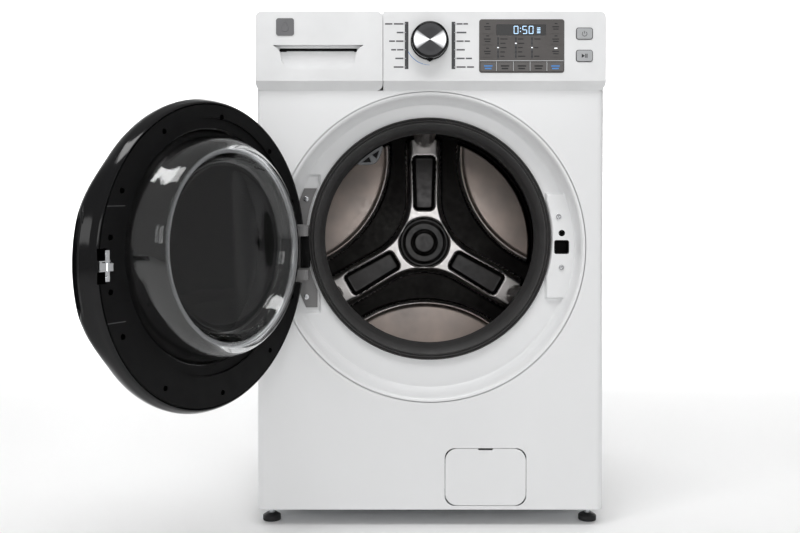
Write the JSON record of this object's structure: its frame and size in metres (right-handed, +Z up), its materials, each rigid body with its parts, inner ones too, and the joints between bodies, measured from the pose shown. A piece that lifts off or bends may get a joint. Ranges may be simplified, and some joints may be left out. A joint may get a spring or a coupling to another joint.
{
  "type": "front load washing machine",
  "caption": "Front loading washing machine with a round door standing open, a full-width console with knob and display, and a detergent drawer.",
  "frame": {"origin": "centre of the cabinet's footprint on the floor", "axes": "+X to the right seen from the front, +Y to the back, +Z up; the front panel faces -Y"},
  "size_m": [0.9122, 1.2477, 1.018],
  "materials": {
    "painted_steel": "smooth white enamel",
    "console_plastic": "satin white",
    "panel_grey": "metallic grey",
    "window_black": "gloss black",
    "knob_metal": "spun face with black grip",
    "grey_plastic": "satin grey",
    "black_plastic": "satin black",
    "gloss_black": "gloss black",
    "tub_plastic": "natural filled plastic",
    "galvanised": "galvanised",
    "stainless": "polished stainless",
    "chrome": "bright",
    "seal_rubber": "matte dark grey",
    "hose_rubber": "matte",
    "glass": "clear",
    "smoked": "smoked",
    "concrete": "cast, rough",
    "copper": "enamelled windings",
    "zinc": "die cast"
  },
  "bodies": {
    "cabinet": {"front_panel": "painted_steel", "side_panel_left": "painted_steel", "side_panel_right": "painted_steel", "top_panel": "painted_steel", "rear_panel": "galvanised", "rear_access_cover": "galvanised", "base_frame": "galvanised", "foot_studs": "galvanised", "foot_pads": "hose_rubber", "panel_screws": "chrome", "console_fascia": "console_plastic", "display_panel": "panel_grey", "display_window": "window_black", "indicator_bars": "window_black", "control_module": "grey_plastic", "dispenser_housing": "tub_plastic", "door_seal": "seal_rubber", "seal_clamp": "galvanised", "spray_nozzle": "grey_plastic", "hinge_plate": "galvanised", "hinge_pin": "galvanised", "door_lock": "black_plastic", "motor_stator": "copper", "tub_front": "tub_plastic", "tub_rear": "tub_plastic", "tub_bearings": "galvanised", "counterweights": "concrete", "suspension_springs": "galvanised", "dampers": "galvanised", "heater": "stainless", "drain_pump": "tub_plastic", "drain_hoses": "hose_rubber", "inlet_valves": "grey_plastic", "shipping_plugs": "grey_plastic"},
    "door": {"door_cover": "gloss_black", "door_ring": "black_plastic", "door_trim": "chrome", "door_window": "smoked", "door_glass": "glass", "door_screws": "chrome", "hook_bracket": "chrome"},
    "hook": {"door_hook": "zinc"},
    "drum": {"drum_shell": "stainless", "drum_back": "stainless", "drum_lifters": "stainless", "drum_spider": "zinc", "motor_rotor": "black_plastic"},
    "drawer": {"drawer_front": "console_plastic", "drawer_tray": "tub_plastic", "badge": "panel_grey"},
    "knob": {"knob": "knob_metal"},
    "power_button": {"power_button": "grey_plastic"},
    "start_button": {"start_button": "grey_plastic"},
    "filter_flap": {"filter_cover": "console_plastic"},
    "filter_plug": {"filter_cap": "tub_plastic"},
    "key_1": {"option_key_1": "panel_grey"},
    "key_2": {"option_key_2": "panel_grey"},
    "key_3": {"option_key_3": "panel_grey"},
    "key_4": {"option_key_4": "panel_grey"},
    "key_5": {"option_key_5": "panel_grey"}
  },
  "joints": [
    {"name": "door_swing", "type": "hinge", "parent": "cabinet", "child": "door", "pos_m": [-0.27, -0.3675, 0.5445], "axis": [0, 0, 1], "range_deg": [0, 120.5]},
    {"name": "hook_tip", "type": "hinge", "parent": "door", "child": "hook", "pos_m": [-0.51178, -0.83904, 0.554], "axis": [0, 0, -1], "range_deg": [0, 10], "stiffness_Nm_per_rad": 0.5, "springref_deg": -2.86},
    {"name": "drum_spin", "type": "hinge", "parent": "cabinet", "child": "drum", "pos_m": [0, -0.325, 0.57], "axis": [0, 0.9976, -0.0698], "continuous": true},
    {"name": "drawer_slide", "type": "slide", "parent": "cabinet", "child": "drawer", "axis": [0, -1, 0], "range_m": [0, 0.21]},
    {"name": "knob_turn", "type": "hinge", "parent": "cabinet", "child": "knob", "pos_m": [-0.002, -0.395, 0.9597], "axis": [0, -1, 0], "continuous": true},
    {"name": "power_press", "type": "slide", "parent": "cabinet", "child": "power_button", "axis": [0, 1, 0], "range_m": [0, 0.0015], "stiffness_N_per_m": 600},
    {"name": "start_press", "type": "slide", "parent": "cabinet", "child": "start_button", "axis": [0, 1, 0], "range_m": [0, 0.0015], "stiffness_N_per_m": 600},
    {"name": "key_1_press", "type": "slide", "parent": "cabinet", "child": "key_1", "axis": [0, 1, 0], "range_m": [0, 0.0008], "stiffness_N_per_m": 600},
    {"name": "key_2_press", "type": "slide", "parent": "cabinet", "child": "key_2", "axis": [0, 1, 0], "range_m": [0, 0.0008], "stiffness_N_per_m": 600},
    {"name": "key_3_press", "type": "slide", "parent": "cabinet", "child": "key_3", "axis": [0, 1, 0], "range_m": [0, 0.0008], "stiffness_N_per_m": 600},
    {"name": "key_4_press", "type": "slide", "parent": "cabinet", "child": "key_4", "axis": [0, 1, 0], "range_m": [0, 0.0008], "stiffness_N_per_m": 600},
    {"name": "key_5_press", "type": "slide", "parent": "cabinet", "child": "key_5", "axis": [0, 1, 0], "range_m": [0, 0.0008], "stiffness_N_per_m": 600},
    {"name": "filter_flap_swing", "type": "hinge", "parent": "cabinet", "child": "filter_flap", "pos_m": [0.10975, -0.366, 0.044], "axis": [1, 0, 0], "range_deg": [0, 85]},
    {"name": "filter_plug_turn", "type": "hinge", "parent": "cabinet", "child": "filter_plug", "pos_m": [0.11, -0.35, 0.098], "axis": [0, -1, 0], "range_deg": [0, 90]}
  ]
}
